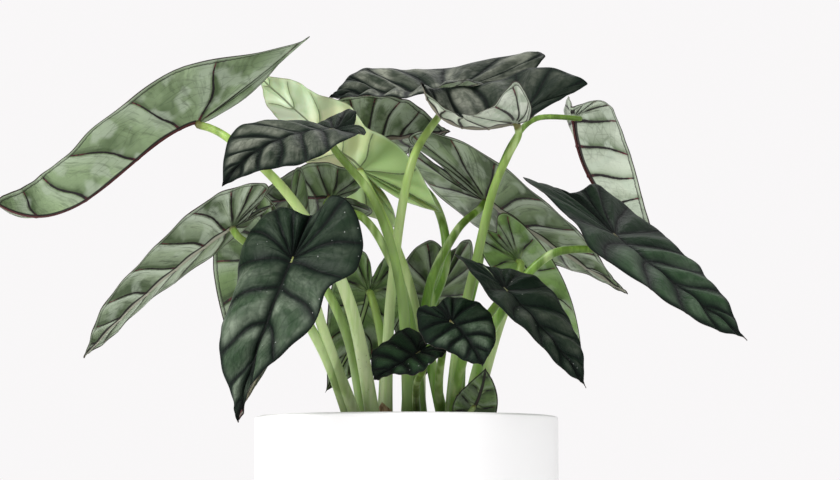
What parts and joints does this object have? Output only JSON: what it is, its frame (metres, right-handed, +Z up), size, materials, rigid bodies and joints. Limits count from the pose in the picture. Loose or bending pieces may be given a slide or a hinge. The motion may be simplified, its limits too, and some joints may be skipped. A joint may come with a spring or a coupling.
{
  "type": "potted foliage plant",
  "caption": "Potted aroid with arching, arrow-shaped, strongly veined leaves on smooth stalks, standing in a plain white cylindrical ceramic pot filled with soil.",
  "frame": {"origin": "centre of the underside of the pot, at the surface it stands on", "axes": "+Z up, away from the surface; +X to the viewer's right, along the plant's widest spread of leaves; -Y towards the viewer"},
  "size_m": [0.4286, 0.2249, 0.3947],
  "materials": {
    "leaf_dark": "dark green leaf, satin",
    "leaf_silver": "silver-green leaf underside, matte",
    "leaf_pale": "young yellow-green leaf, matte",
    "stalk": "smooth fleshy green leaf stalk",
    "pot": "plain matte white",
    "soil": "loose dark potting soil"
  },
  "bodies": {
    "root": {"pot": "pot", "soil": "soil", "stalks_left": "stalk", "stalks_middle": "stalk", "stalks_right": "stalk", "blade_upper_left": "leaf_silver", "blade_new_pale": "leaf_pale", "blade_mid_left": "leaf_dark", "blade_top_back": "leaf_dark", "blade_top_front": "leaf_dark", "blade_front_left": "leaf_dark", "blade_lower_left": "leaf_silver", "blade_behind_left": "leaf_silver", "blade_right": "leaf_dark", "blade_broad_right": "leaf_silver", "blade_low_right": "leaf_silver", "blade_small_front_right": "leaf_dark", "blade_small_front_left": "leaf_dark", "blade_upper_right": "leaf_silver", "blade_behind_middle": "leaf_silver", "blade_front_right": "leaf_dark", "blade_rim_right": "leaf_dark", "blade_back_left": "leaf_silver", "blade_back_middle": "leaf_silver", "blade_inner_left": "leaf_silver"}
  },
  "joints": []
}
